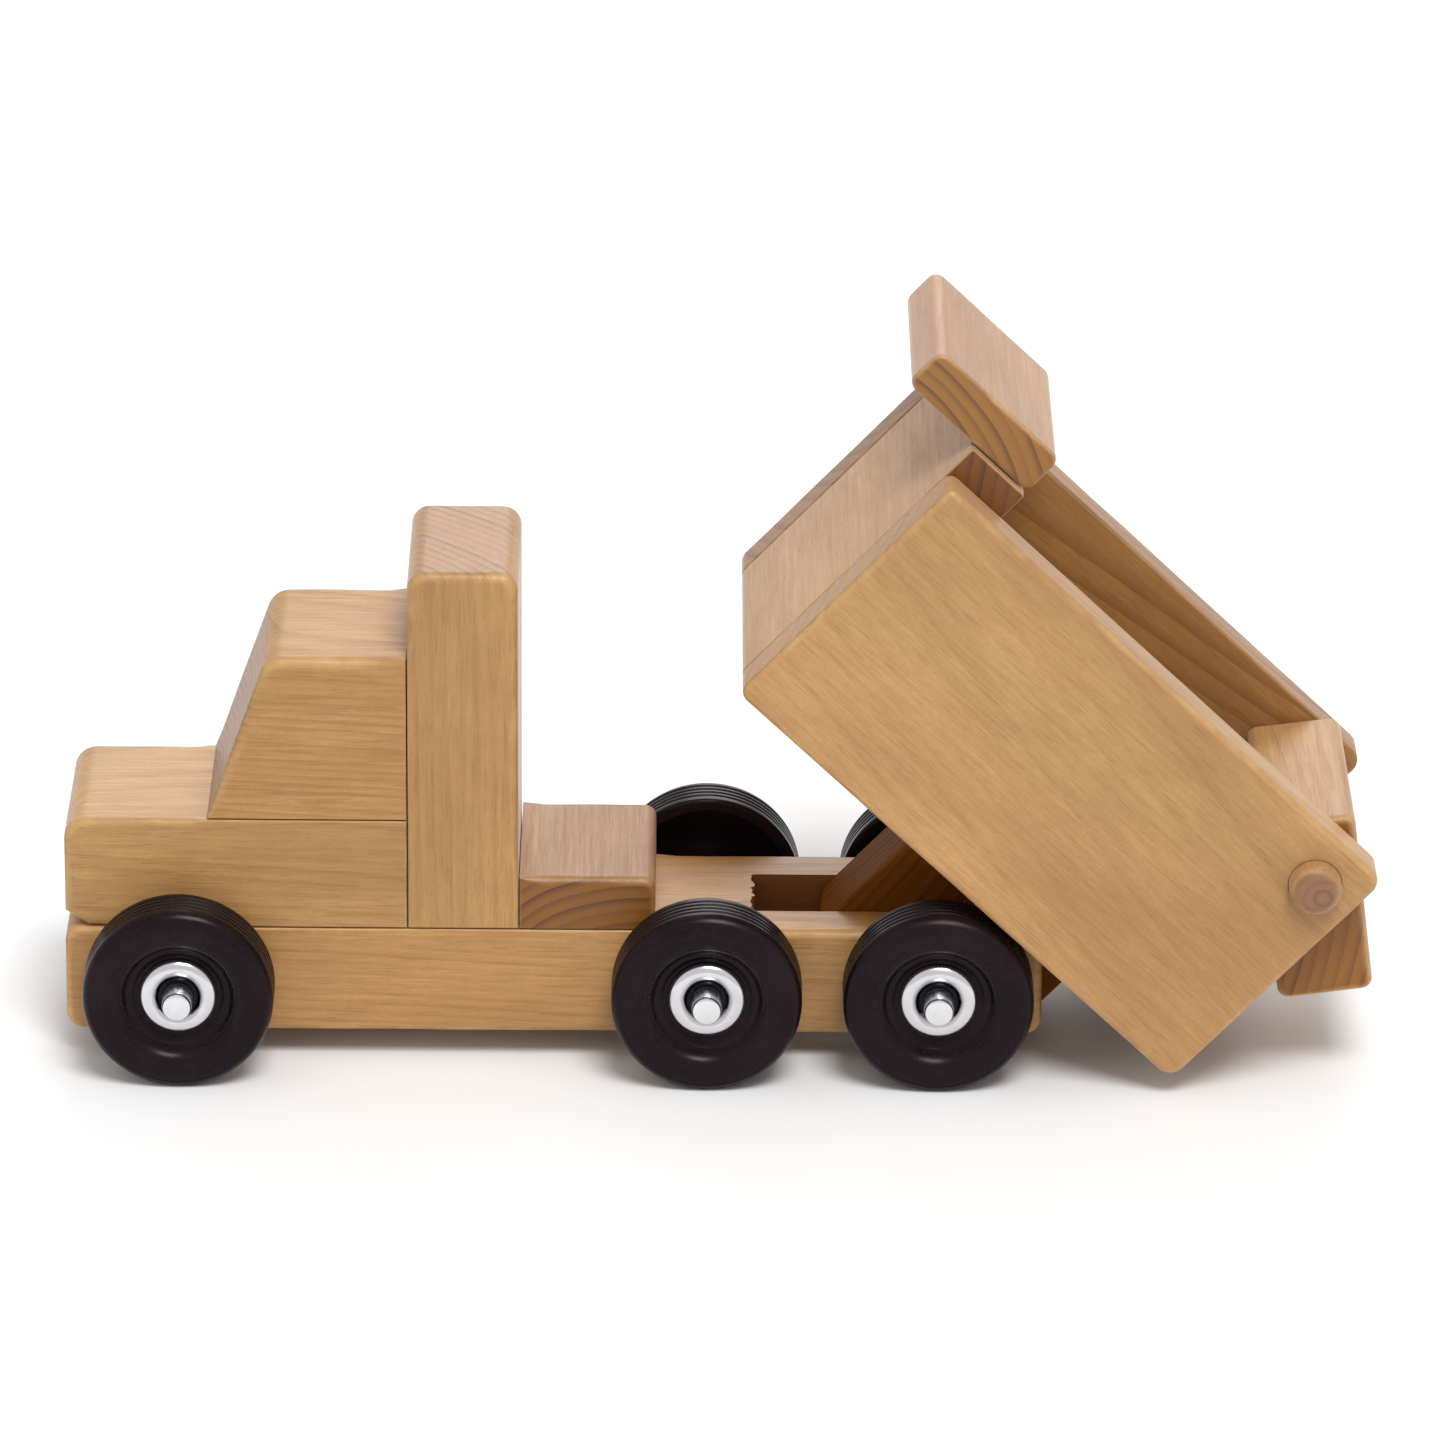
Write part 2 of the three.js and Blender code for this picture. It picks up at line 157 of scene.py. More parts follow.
class Graph:
    """A material's nodes, added and joined in one call each."""

    def __init__(self, name):
        self.material = bpy.data.materials.new(name)
        self.material.use_nodes = True
        self.tree = self.material.node_tree
        self.shader = self.tree.nodes["Principled BSDF"]

    def join(self, value, socket):
        if isinstance(value, bpy.types.NodeSocket):
            self.tree.links.new(value, socket)
        else:
            socket.default_value = value

    def node(self, kind, inputs=(), **settings):
        made = self.tree.nodes.new(kind)
        for key, value in settings.items():
            setattr(made, key, value)
        for place, value in dict(inputs).items():
            self.join(value, made.inputs[place])
        return made

    def math(self, operation, first, second=0.0):
        return self.node("ShaderNodeMath", {0: first, 1: second}, operation=operation).outputs[0]

    def multiply_add(self, value, factor, addend):
        inputs = {0: value, 1: factor, 2: addend}
        return self.node("ShaderNodeMath", inputs, operation="MULTIPLY_ADD").outputs[0]

    def vector(self, operation, first, second=(0, 0, 0)):
        made = self.node("ShaderNodeVectorMath", {0: first, 1: second}, operation=operation)
        return made.outputs["Value" if operation in ("LENGTH", "DOT_PRODUCT") else "Vector"]

    def noise(self, place, cells, detail=2.0, roughness=0.5, colour=False):
        """Noise with so many cells a metre along each axis."""
        place = self.vector("MULTIPLY", place, cells)
        inputs = {"Vector": place, "Scale": 1.0, "Detail": detail, "Roughness": roughness}
        made = self.node("ShaderNodeTexNoise", inputs)
        return made.outputs["Color" if colour else "Fac"]

    def ramp(self, value, stops):
        """A grey level for the value, straight between stops of (value, level)."""
        made = self.node("ShaderNodeValToRGB", {"Fac": value})
        elements = made.color_ramp.elements
        while len(elements) < len(stops):
            elements.new(0.5)
        for element, (place, level) in zip(elements, stops):
            element.position = place
            element.color = (level, level, level, 1)
        return made.outputs["Color"]

    def mix(self, share, first, second, blend="MIX"):
        made = self.node("ShaderNodeMix", data_type="RGBA", blend_type=blend)
        self.join(share, made.inputs["Factor"])
        self.join(first, made.inputs[6])
        self.join(second, made.inputs[7])
        return made.outputs[2]


def rgba(colour):
    return (*colour, 1)


# Colours in linear light: the honey stain and what it shades to, the painted shade of cut faces and of the
# caps' dimples, and the wheels.
STAIN = (0.565, 0.316, 0.111)
STAIN_OLIVE = (0.462, 0.280, 0.092)
STAIN_DEEP = (0.335, 0.165, 0.052)
LATEWOOD = (0.185, 0.076, 0.018)
END_GRAIN = (0.285, 0.120, 0.012)
END_LATEWOOD = (0.105, 0.036, 0.006)
# Painted shade: the dark colour given to the cut faces inside the slot, bores and holes.
CUT_SHADE = (0.205, 0.064, 0.008)
WORN = (0.58, 0.36, 0.15)
# Painted shade: the dark colour painted into the caps' pressed dimples.
DIMPLE_SHADE = (0.018, 0.018, 0.024)
WHEEL_BLACK = (0.0050, 0.0028, 0.0034)
WHEEL_BLOOM = (0.012, 0.0062, 0.0075)
WHEEL_DUST = (0.034, 0.022, 0.026)

# Which of the board's axes runs along the fibres, and the two that run across them.
GRAIN_ORDER = {"X": (0, 1, 2), "Y": (1, 0, 2), "Z": (2, 0, 1)}
SEED_SHIFT = (0.37, 0.61, 0.23)


def wood(
    name, grain, pith, spacing=2.4, rings=0.3, tilt=(0.0, 0.0), tint=(1, 1, 1), ends=1.0, end_tint=(1, 1, 1),
    sheen=0.22, gloss=0.5, seed=0, board=WORLD_FRAME,
):
    """Stained softwood. grain is the axis of the board's own frame that the fibres follow. pith is where the
    heart of the tree lies beside the board, across the grain, in mm, and tilt how it drifts along it. rings
    is how dark the late wood is, spacing the width of a year in mm, and ends how much the end grain shows."""
    g = Graph(name)
    coordinates = g.node("ShaderNodeTexCoord")
    axes = [tuple(board.to_3x3().col[k]) for k in GRAIN_ORDER[grain]]
    from_origin = g.vector("SUBTRACT", coordinates.outputs["Object"], tuple(board.translation))
    place = g.node("ShaderNodeCombineXYZ", {
        i: g.vector("DOT_PRODUCT", from_origin, axis) for i, axis in enumerate(axes)
    }).outputs[0]
    shifted = g.vector("ADD", place, tuple(shift * seed for shift in SEED_SHIFT))

    def grain_noise(along, across, detail, roughness, low, high):
        """Noise with so many cells a metre along and across the grain, stretched from low to high."""
        return g.ramp(g.noise(shifted, (along, across, across), detail, roughness), [(low, 0), (high, 1)])

    # The rings, round a pith that wanders.
    wander = g.noise(shifted, (4, 13, 13), colour=True)
    wander = g.vector("MULTIPLY", g.vector("SUBTRACT", wander, (0.5, 0.5, 0.5)), (0, 0.009, 0.009))
    along = g.node("ShaderNodeSeparateXYZ", {0: place}).outputs[0]
    drift = g.node("ShaderNodeCombineXYZ", {
        0: 0.0,
        1: g.math("MULTIPLY", along, tilt[0]),
        2: g.math("MULTIPLY", along, tilt[1]),
    }).outputs[0]
    across = g.vector("MULTIPLY", place, (0, 1, 1))
    across = g.vector("SUBTRACT", across, (0, pith[0] * MM, pith[1] * MM))
    across = g.vector("ADD", g.vector("ADD", across, drift), wander)
    years = g.math("DIVIDE", g.vector("LENGTH", across), spacing * MM)
    season = g.ramp(g.math("FRACT", years), [(0, 0), (0.45, 0.1), (0.8, 0.75), (0.93, 1), (1, 0)])
    year = g.node("ShaderNodeTexWhiteNoise", {"W": g.math("FLOOR", years)}, noise_dimensions="1D")
    late = g.math("MULTIPLY", season, g.multiply_add(year.outputs["Value"], 0.8, 0.3))

    # The cloudy take-up of the stain, long streaks, fibres and short dark vessels.
    cloud = grain_noise(11, 30, 3.0, 0.55, 0.34, 0.66)
    mottle = grain_noise(120, 210, 3.0, 0.65, 0.35, 0.65)
    olive = grain_noise(6, 17, 2.0, 0.5, 0.38, 0.66)
    streak = grain_noise(7, 150, 3.0, 0.6, 0.35, 0.72)
    fibre = grain_noise(30, 850, 3.0, 0.65, 0.32, 0.68)
    vessel = grain_noise(110, 2300, 1.0, 0.5, 0.585, 0.70)
    speck = grain_noise(900, 1500, 2.0, 0.7, 0.35, 0.65)
    base = rgba(STAIN)
    for mask, share, colour in (
        (olive, 0.8, STAIN_OLIVE), (cloud, 0.62, STAIN_DEEP), (mottle, 0.26, STAIN_DEEP),
        (streak, 0.20, STAIN_DEEP), (late, rings, LATEWOOD), (fibre, 0.24, LATEWOOD),
        (vessel, 0.26, LATEWOOD), (speck, 0.13, LATEWOOD),
    ):
        base = g.mix(g.math("MULTIPLY", mask, share), base, rgba(colour))

    # End grain shows where the surface faces along the fibres.
    facing = g.math("ABSOLUTE", g.vector("DOT_PRODUCT", coordinates.outputs["Normal"], axes[0]))
    end = g.ramp(facing, [(0.72, 0), (0.95, 1)])
    pores = grain_noise(500, 1500, 2.0, 0.6, 0.4, 0.65)
    cut = g.mix(g.math("MULTIPLY", late, 0.95), rgba(END_GRAIN), rgba(END_LATEWOOD))
    cut = g.mix(g.math("MULTIPLY", pores, 0.25), cut, rgba(LATEWOOD))
    cut = g.mix(1.0, cut, rgba(end_tint), "MULTIPLY")
    base = g.mix(g.math("MULTIPLY", end, ends), base, cut)

    # Edges are rubbed paler. Faces cut inside the slot and the holes get painted shade: they are painted
    # dark.
    edge = g.node("ShaderNodeAttribute", attribute_name="edge").outputs["Fac"]
    rub = g.ramp(g.noise(shifted, (70, 70, 70), 3.0, 0.6), [(0.42, 0.0), (0.72, 0.6)])
    base = g.mix(g.math("MULTIPLY", edge, rub), base, rgba(WORN))
    cut_shade = g.node("ShaderNodeAttribute", attribute_name="cut_shade").outputs["Fac"]
    base = g.mix(g.math("MULTIPLY", cut_shade, 0.75), base, rgba(CUT_SHADE))
    base = g.mix(1.0, base, rgba(tint), "MULTIPLY")
    g.join(base, g.shader.inputs["Base Color"])

    g.join(g.multiply_add(fibre, 0.12, 0.40), g.shader.inputs["Roughness"])
    g.shader.inputs["Specular IOR Level"].default_value = gloss
    g.shader.inputs["Sheen Weight"].default_value = sheen
    g.shader.inputs["Sheen Roughness"].default_value = 0.4
    g.shader.inputs["Sheen Tint"].default_value = (1.0, 0.96, 1.0, 1)

    height = g.math("ADD", g.math("MULTIPLY", fibre, -0.5), g.math("MULTIPLY", vessel, -0.7))
    height = g.math("ADD", height, g.math("MULTIPLY", late, 0.35))
    bump = g.node("ShaderNodeBump", {"Strength": 0.3, "Distance": 0.00012, "Height": height})
    g.join(bump.outputs[0], g.shader.inputs["Normal"])
    return g.material


def steel(name, colour, roughness, recess=0.0):
    """Bare or plated steel. Within recess mm of the axis, a cap's pressed dimple is painted dark: painted
    shade.
    """
    g = Graph(name)
    place = g.node("ShaderNodeTexCoord").outputs["Object"]
    smear = g.noise(place, (300, 300, 300), 3.0, 0.6)
    shade = g.ramp(smear, [(0.3, 0.0), (0.75, 0.35)])
    base = g.mix(shade, rgba(colour), rgba(tuple(c * 0.72 for c in colour)))
    if recess:
        radius = g.node("ShaderNodeAttribute", attribute_name="radius").outputs["Fac"]
        ragged = g.multiply_add(g.noise(place, (420, 420, 420)), 1.6, -0.8)
        inward = g.math("SUBTRACT", recess, g.math("ADD", radius, ragged))
        # Painted shade: the dimple round the rod is painted dark.
        base = g.mix(g.ramp(inward, [(0.0, 0.0), (0.45, 1.0)]), base, rgba(DIMPLE_SHADE))
    g.join(base, g.shader.inputs["Base Color"])
    g.shader.inputs["Metallic"].default_value = 1.0
    g.join(g.multiply_add(smear, 0.18, roughness), g.shader.inputs["Roughness"])
    scratch = g.noise(place, (1200, 120, 1200), 2.0, 0.6)
    bump = g.node("ShaderNodeBump", {"Strength": 0.1, "Distance": 0.00004, "Height": scratch})
    g.join(bump.outputs[0], g.shader.inputs["Normal"])
    return g.material


def black_wheel(name):
    """Satin black with a faint brown bloom and the fine scuffs of a used wheel."""
    g = Graph(name)
    place = g.node("ShaderNodeTexCoord").outputs["Object"]
    bloom = g.ramp(g.noise(place, (55, 55, 55), 4.0, 0.6), [(0.35, 0), (0.75, 1)])
    grain = g.noise(place, (1400, 1400, 1400), 2.0, 0.6)
    base = g.mix(bloom, rgba(WHEEL_BLACK), rgba(WHEEL_BLOOM))
    dust = g.ramp(grain, [(0.55, 0), (0.8, 0.35)])
    base = g.mix(dust, base, rgba(WHEEL_DUST))
    g.join(base, g.shader.inputs["Base Color"])
    g.shader.inputs["Specular IOR Level"].default_value = 0.15
    g.shader.inputs["Specular Tint"].default_value = (1.0, 0.84, 0.92, 1)
    g.join(g.multiply_add(bloom, 0.10, 0.24), g.shader.inputs["Roughness"])
    bump = g.node("ShaderNodeBump", {"Strength": 0.22, "Distance": 0.0001, "Height": grain})
    g.join(bump.outputs[0], g.shader.inputs["Normal"])
    return g.material


# ---------------------------------------------------------------- meshes

OUTLINE_STEP = 3 * MM
ARC_STEPS = 7
ROUND_STEPS = 6
SHARP_ANGLE = math.radians(38)

# Edges sanded by hand are uneven: this many lumps a metre, and others at each end and on each piece.
LUMPS = 55
LUMP_END_SHIFT = 3.7
LUMP_SEED_SHIFT = 11.3

# In mm: the rounding of an edge along a glued seam, and how far from the seam it is full again.
SEAM_EDGE = 0.6
SEAM_REACH = 6.0


def outline(corners):
    """Points round an outline with their outward directions. Each corner is (x, z, radius) in mm, and they go
    counter-clockwise. At a sharp corner the direction is the mitre, so both sides move equally along it."""
    count = len(corners)
    at = [Vector((x * MM, z * MM)) for x, z, _ in corners]
    bends = []
    for i, (_, _, radius) in enumerate(corners):
        back = (at[i - 1] - at[i]).normalized()
        on = (at[(i + 1) % count] - at[i]).normalized()
        out_before = Vector((-back.y, back.x))
        out_after = Vector((on.y, -on.x))
        if radius == 0:
            mitre = (out_before + out_after) / (1 + out_before.dot(out_after))
            bends.append([(at[i], mitre)])
            continue
        half = back.angle(on) / 2
        centre = at[i] + (back + on).normalized() * (radius * MM / math.sin(half))
        start = math.atan2(out_before.y, out_before.x)
        sweep = math.pi - 2 * half
        bend = []
        for k in range(ARC_STEPS + 1):
            angle = start + sweep * k / ARC_STEPS
            out = Vector((math.cos(angle), math.sin(angle)))
            bend.append((centre + out * radius * MM, out))
        bends.append(bend)
    points = []
    for i, bend in enumerate(bends):
        points += bend
        here, ahead = bend[-1][0], bends[(i + 1) % count][0][0]
        side = ahead - here
        steps = max(1, round(side.length / OUTLINE_STEP))
        out = Vector((side.y, -side.x)).normalized()
        points += [(here + side * k / steps, out) for k in range(1, steps)]
    return points


def flip_if_inside_out(mesh):
    """Turns the faces outward, by the sign of the volume they enclose."""
    volume = 0.0
    for polygon in mesh.polygons:
        corner = [mesh.vertices[i].co for i in polygon.vertices]
        for a, b in zip(corner[1:-1], corner[2:]):
            volume += corner[0].dot(a.cross(b))
    if volume < 0:
        mesh.flip_normals()


def new_piece(name, vertices, faces, place, **marks):
    """A piece with its faces turned outward. marks are numbers for each vertex, which the looks read."""
    mesh = bpy.data.meshes.new(name)
    mesh.from_pydata(vertices, [], faces)
    mesh.transform(place)
    mesh.validate()
    for mark, values in marks.items():
        mesh.attributes.new(mark, "FLOAT", "POINT").data.foreach_set("value", values)
    mesh.shade_smooth()
    piece = bpy.data.objects.new(name, mesh)
    scene.collection.objects.link(piece)
    flip_if_inside_out(mesh)
    return piece


def edge_radius(spot, round_edge, seams):
    """The rounding in mm at a place on the outline: slight along a glued seam, full a few mm away from it."""
    share = 1.0
    for start, stop in seams:
        start, stop = Vector(start), Vector(stop)
        along = stop - start
        part = max(0.0, min(1.0, (spot / MM - start).dot(along) / along.length_squared))
        away = min(1.0, (spot / MM - start - along * part).length / SEAM_REACH)
        share = min(share, away * away * (3 - 2 * away))
    return SEAM_EDGE + (round_edge - SEAM_EDGE) * share


def block(name, corners, width, round_edge, place, middle=0.0, wear=0.22, seams=(), far_edge=None, seed=0):
    """A board whose X-Z outline runs along Y for its width, in mm, with edges sanded round by hand. seams
    are the parts of the outline, from one (x, z) to another, that are glued to a neighbour. far_edge is how
    far in and how deep the +Y end is rounded where it differs. A rounding stays under its corner's radius."""
    points = outline(corners)
    half = width * MM / 2
    vertices, edge = [], []
    rings = []
    for side in (-1, 1):
        order = range(ROUND_STEPS + 1)
        for k in order if side > 0 else reversed(order):
            rings.append((side, math.pi / 2 * k / ROUND_STEPS))
    for side, turn in rings:
        for spot, out in points:
            cell = side * LUMP_END_SHIFT + seed * LUMP_SEED_SHIFT
            lump = noise.noise(Vector((spot.x * LUMPS, spot.y * LUMPS, cell)))
            inset, depth = far_edge if far_edge and side > 0 else (round_edge, round_edge)
            radius = edge_radius(spot, inset, seams) * MM * (1 + wear * lump)
            flat = spot - out * radius * (1 - math.cos(turn))
            y = side * (half - radius * (depth / inset) * (1 - math.sin(turn)))
            vertices.append((flat.x, y + middle * MM, flat.y))
            edge.append(math.sin(2 * turn))
    count = len(points)
    faces = []
    for r in range(len(rings) - 1):
        for i in range(count):
            j = (i + 1) % count
            faces.append((r * count + i, r * count + j, (r + 1) * count + j, (r + 1) * count + i))
    last = (len(rings) - 1) * count
    faces.append(tuple(reversed(range(count))))
    faces.append(tuple(last + i for i in range(count)))
    return new_piece(name, vertices, faces, place, edge=edge)


def turned(name, profile, segments, place, closed=True):
    """A shape turned about the Y axis. profile is (radius, y) in mm: a ring if closed, else axis to axis."""
    vertices, faces, radii = [], [], []
    rows = [[] for _ in profile]
    for i, (radius, y) in enumerate(profile):
        spots = 1 if radius == 0 else segments
        for k in range(spots):
            angle = 2 * math.pi * k / segments
            rows[i].append(len(vertices))
            vertices.append((radius * math.sin(angle) * MM, y * MM, radius * math.cos(angle) * MM))
            radii.append(radius)
    pairs = list(zip(rows, rows[1:]))
    if closed:
        pairs.append((rows[-1], rows[0]))
    for low, high in pairs:
        for k in range(segments):
            n = (k + 1) % segments
            if len(low) == 1:
                faces.append((low[0], high[n], high[k]))
            elif len(high) == 1:
                faces.append((low[k], low[n], high[0]))
            else:
                faces.append((low[k], low[n], high[n], high[k]))
    return new_piece(name, vertices, faces, place, radius=radii)


def carve(piece, *cutters):
    """Cuts the cutters out of the piece, and leaves one plain mesh whose cut faces are marked for painted
    shade.
    """
    piece.data.attributes.new("cut_shade", "FLOAT", "FACE")
    for cutter in cutters:
        cut_shade = cutter.data.attributes.new("cut_shade", "FLOAT", "FACE")
        cut_shade.data.foreach_set("value", [1.0] * len(cutter.data.polygons))
        modifier = piece.modifiers.new("cut", "BOOLEAN")
        modifier.object = cutter
        modifier.operation = "DIFFERENCE"
        modifier.solver = "EXACT"
    bpy.context.view_layer.update()
    evaluated = piece.evaluated_get(bpy.context.evaluated_depsgraph_get())
    mesh = bpy.data.meshes.new_from_object(evaluated)
    piece.modifiers.clear()
    piece.data = mesh
    for cutter in cutters:
        bpy.data.objects.remove(cutter)


def soften(piece):
    """Smooth shading over the round edges, with flat faces kept flat."""
    piece.data.set_sharp_from_angle(angle=SHARP_ANGLE)
    modifier = piece.modifiers.new("normals", "WEIGHTED_NORMAL")
    modifier.keep_sharp = True
    modifier.weight = 80


def settle(piece, look, body):
    """Gives a finished piece its look, and puts it in the place of the node that it is named after."""
    piece.data.materials.clear()
    piece.data.materials.append(look)
    soften(piece)
    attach(piece, body)
    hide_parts(piece.name.removesuffix("_look"))


def rectangle(low, high, radius):
    """Corners for outline(), from the low one round. radius is one for all of them, or one for each."""
    radii = radius if isinstance(radius, tuple) else (radius,) * 4
    spots = ((low[0], low[1]), (high[0], low[1]), (high[0], high[1]), (low[0], high[1]))
    return [(x, z, r) for (x, z), r in zip(spots, radii)]


def round_hole(radius, length, x, z, place):
    """The cutter of a hole along Y, which is longer than the wood is wide."""
    half = length / 2
    profile = [(0, -half), (radius, -half), (radius, half), (0, half)]
    return turned("cutter", profile, 48, place @ Matrix.Translation((x * MM, 0, z * MM)), closed=False)


def arc(centre, radius, start, stop, steps):
    """Points of an arc in the (radius, y) plane, in degrees from the radius direction towards +y."""
    angles = [math.radians(start + (stop - start) * k / steps) for k in range(steps + 1)]
    return [(centre[0] + radius * math.cos(a), centre[1] + radius * math.sin(a)) for a in angles]


# ---------------------------------------------------------------- sizes, in mm, the same as the CAD model's

MIDDLE_X = AXLES["middle"].x / MM
GLUE_LINE = 0.3
AXLE_HOLE = 4.3
BOARD_CORNER = 4.5

BODY_WIDTH = 52.6
CHASSIS_LOW = (MIDDLE_X - 171.4, 7.7)
CHASSIS_HIGH = (MIDDLE_X + 89.8, 37.7)
SLOT_START = MIDDLE_X + 12.5
SLOT_WIDTH = 24.8
HOOD_TOP = 68.9
HOOD_SETBACK = 0.1
HOOD_CHAMFER = (6, 4)
BLOCK_CORNER = 6
CAB_FOOT = MIDDLE_X - 133.2
CAB_BROW = MIDDLE_X - 117
CAB_REAR = MIDDLE_X - 80.1
CAB_TOP = 115.1
PANEL_FRONT = MIDDLE_X - 79.8
PANEL_REAR = MIDDLE_X - 50.4
PANEL_TOP = 139.5
PANEL_CORNER = 5
DECK_FRONT = MIDDLE_X - 50.1
DECK_REAR = MIDDLE_X - 13.9
DECK_TOP = 52.8

BED_LOW = (-101.2, 27.7)
BED_HIGH = (59.2, 107.7)
BED_WIDTH = 96.7
SIDE_THICKNESS = 12.7
INNER_WIDTH = BED_WIDTH - 2 * SIDE_THICKNESS - 2 * GLUE_LINE
FRONT_PANEL_THICKNESS = 19
FRONT_PANEL_HIGH = 116.2
FLOOR_THICKNESS = 25.4
VISOR_FRONT = -125.6
VISOR_REAR = -81.7
VISOR_THICKNESS = 12.7
VISOR_WIDTH = 66
HINGE_LOW = (-28.2, -16.9)
HINGE_REAR = 30.6
HINGE_CHAMFER = 17.5
HINGE_CORNER = 2.5
HINGE_WIDTH = 24
SCREW_SUNK = 0.5

DOWEL_AT = (46.3, 94.5)
DOWEL_RADIUS = 7
DOWEL_END = 54.3
GATE_LOW = (-12.7, -38.1)
GATE_HIGH = (12.7, 12.7)
GATE_CORNER = 3
GATE_WIDTH = 70
ROD_END = 51.6
WHEEL_RADIUS = 25.4

# Sizes that only the looks have: a closer hole round the dowel, corners as the sander left them, and how far
# back the seam under the hood starts, because the front ends there are rounded in full.
DOWEL_HOLE = 7.2
DOWEL_ROUND = 3.2
CHASSIS_REAR_CORNER = 2.8
DECK_CORNER = 3.2
BED_FRONT_CORNER = 3.6
BED_TOP_CORNER = 2.4
INNER_CORNER = 0.9
VISOR_CORNER = 3.2
SEAM_SETBACK = 14


# ---------------------------------------------------------------- screws and the holes for them

def screw_place(node, sunk=0.0):
    """Where a screw's head lies, with its point along +Y. A screw in the chassis is as deep as its node, and
    one in the bed's floor is sunk so many mm below the floor's top."""
    low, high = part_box(node)
    middle = (low + high) / 2
    if node.startswith("screw_hinge"):
        spot = BED_FRAME.inverted() @ middle
        top = (BED_LOW[1] + FLOOR_THICKNESS - sunk) * MM
        head = Matrix.Translation((spot.x, 0, top)) @ Matrix.Rotation(-math.pi / 2, 4, "X")
        return BED_FRAME @ head
    return Matrix.Translation((middle.x, middle.y, low.z)) @ Matrix.Rotation(math.pi / 2, 4, "X")


def screw_hole(node, seat, neck):
    """The cutter of a countersunk hole, which narrows from seat to neck, in mm from screw_place()."""
    head, shank, start, end = 4.3, 2.4, -3, 12
    profile = [(0, start), (head, start), (head, seat), (shank, neck), (shank, end), (0, end)]
    return turned("cutter", profile, 24, screw_place(node), closed=False)


def screw_profile():
    """A countersunk head with a drive recess, a ridged shank and a point, head at the origin."""
    points = [(0, 1.5), (1.2, 1.3), (1.5, 0.06), (3.8, 0), (4.0, 0.15), (4.0, 0.4), (2.1, 2.5)]
    core, crest = 1.55, 2.1
    thread_start, thread_end, pitch, tip = 6.0, 33.0, 1.8, 38
    y = thread_start
    while y < thread_end:
        points += [(core, y), (crest, y + pitch / 2)]
        y += pitch
    return points + [(core, y), (0, tip)]


def make_fasteners():
    screw_look = steel("screw_steel", colour=(0.62, 0.6, 0.55), roughness=0.28)
    pin_look = wood("pin_wood", "Z", pith=(2, 2), spacing=1.5, rings=0.4, seed=15)
    for node, shape in frame["nodes"].items():
        if node.startswith("pin_"):
            shape.data.materials.clear()
            shape.data.materials.append(pin_look)
        if not node.startswith("screw_"):
            continue
        in_bed = node.startswith("screw_hinge")
        place = screw_place(node, SCREW_SUNK if in_bed else 0.0)
        screw = turned(f"{node}_look", screw_profile(), 32, place, closed=False)
        settle(screw, screw_look, "bed_body" if in_bed else "chassis_body")


# ---------------------------------------------------------------- the chassis and the blocks on it

def ragged_slot():
    """The cutter of the chassis slot, whose front end is torn out where the saw left it."""
    rng = random.Random(7)
    teeth = 26
    half = SLOT_WIDTH / 2 * MM
    rear = (CHASSIS_HIGH[0] + 4) * MM
    levels = [z * MM for z in (CHASSIS_LOW[1] - 2, 12, 24, 33, 36.4, CHASSIS_HIGH[1] + 1)]
    near_top = 33.5 * MM
    vertices, faces = [], []
    for z in levels:
        torn = 0.5 + 0.5 * (z > near_top)
        for i in range(teeth + 1):
            y = -half + 2 * half * i / teeth
            at_side = i in (0, teeth)
            tear = 0 if at_side else rng.uniform(-1.0, 0.5) * torn
            vertices.append(((SLOT_START + tear) * MM, y, z))
        vertices.append((rear, half, z))
        vertices.append((rear, -half, z))
    row = teeth + 3
    for level in range(len(levels) - 1):
        for i in range(row):
            j = (i + 1) % row
            faces.append((level * row + i, level * row + j, (level + 1) * row + j, (level + 1) * row + i))
    faces.append(tuple(reversed(range(row))))
    top = (len(levels) - 1) * row
    faces.append(tuple(top + i for i in range(row)))
    return new_piece("cutter", vertices, faces, WORLD_FRAME)


def make_chassis():
    top = CHASSIS_HIGH[1]
    radii = (BOARD_CORNER, BOARD_CORNER, CHASSIS_REAR_CORNER, BOARD_CORNER)
    chassis = block(
        "chassis_look", rectangle(CHASSIS_LOW, CHASSIS_HIGH, radii), BODY_WIDTH, round_edge=2.2,
        place=WORLD_FRAME, seams=[((CHASSIS_LOW[0] + SEAM_SETBACK, top), (DECK_REAR, top))],
    )
    bores = [
        round_hole(AXLE_HOLE, 2 * BODY_WIDTH, axle.x / MM, axle.z / MM, WORLD_FRAME)
        for axle in AXLES.values()
    ]
    upward = ("screw_hood", "screw_panel", "screw_deck")
    holes = [
        screw_hole(node, seat=0.7, neck=2.7) for node in sorted(frame["nodes"]) if node.startswith(upward)
    ]
    carve(chassis, ragged_slot(), *bores, *holes)
    look = wood(
        "chassis_wood", "X", pith=(-8, 90), spacing=2.6, rings=0.34, tilt=(0.02, 0.04),
        tint=(1.12, 1.10, 1.08), sheen=0.08, seed=1,
    )
    settle(chassis, look, "chassis_body")


def make_hood():
    front = CHASSIS_LOW[0] + HOOD_SETBACK
    base = CHASSIS_HIGH[1] + GLUE_LINE
    corners = [
        (front + HOOD_CHAMFER[0], base, 0), (CAB_REAR, base, 0), (CAB_REAR, HOOD_TOP, 0),
        (front, HOOD_TOP, BLOCK_CORNER), (front, base + HOOD_CHAMFER[1], 0),
    ]
    seams = [
        ((front + SEAM_SETBACK, base), (CAB_REAR, base)), ((CAB_REAR, base), (CAB_REAR, HOOD_TOP)),
        ((CAB_FOOT, HOOD_TOP), (CAB_REAR, HOOD_TOP)),
    ]
    hood = block(
        "hood_block_look", corners, BODY_WIDTH, round_edge=2.2, place=WORLD_FRAME, seams=seams, seed=2,
    )
    look = wood(
        "hood_wood", "X", pith=(70, -95), spacing=2.9, rings=0.28, tilt=(-0.03, 0.05),
        tint=(1.04, 1.04, 1.04), seed=2,
    )
    settle(hood, look, "chassis_body")


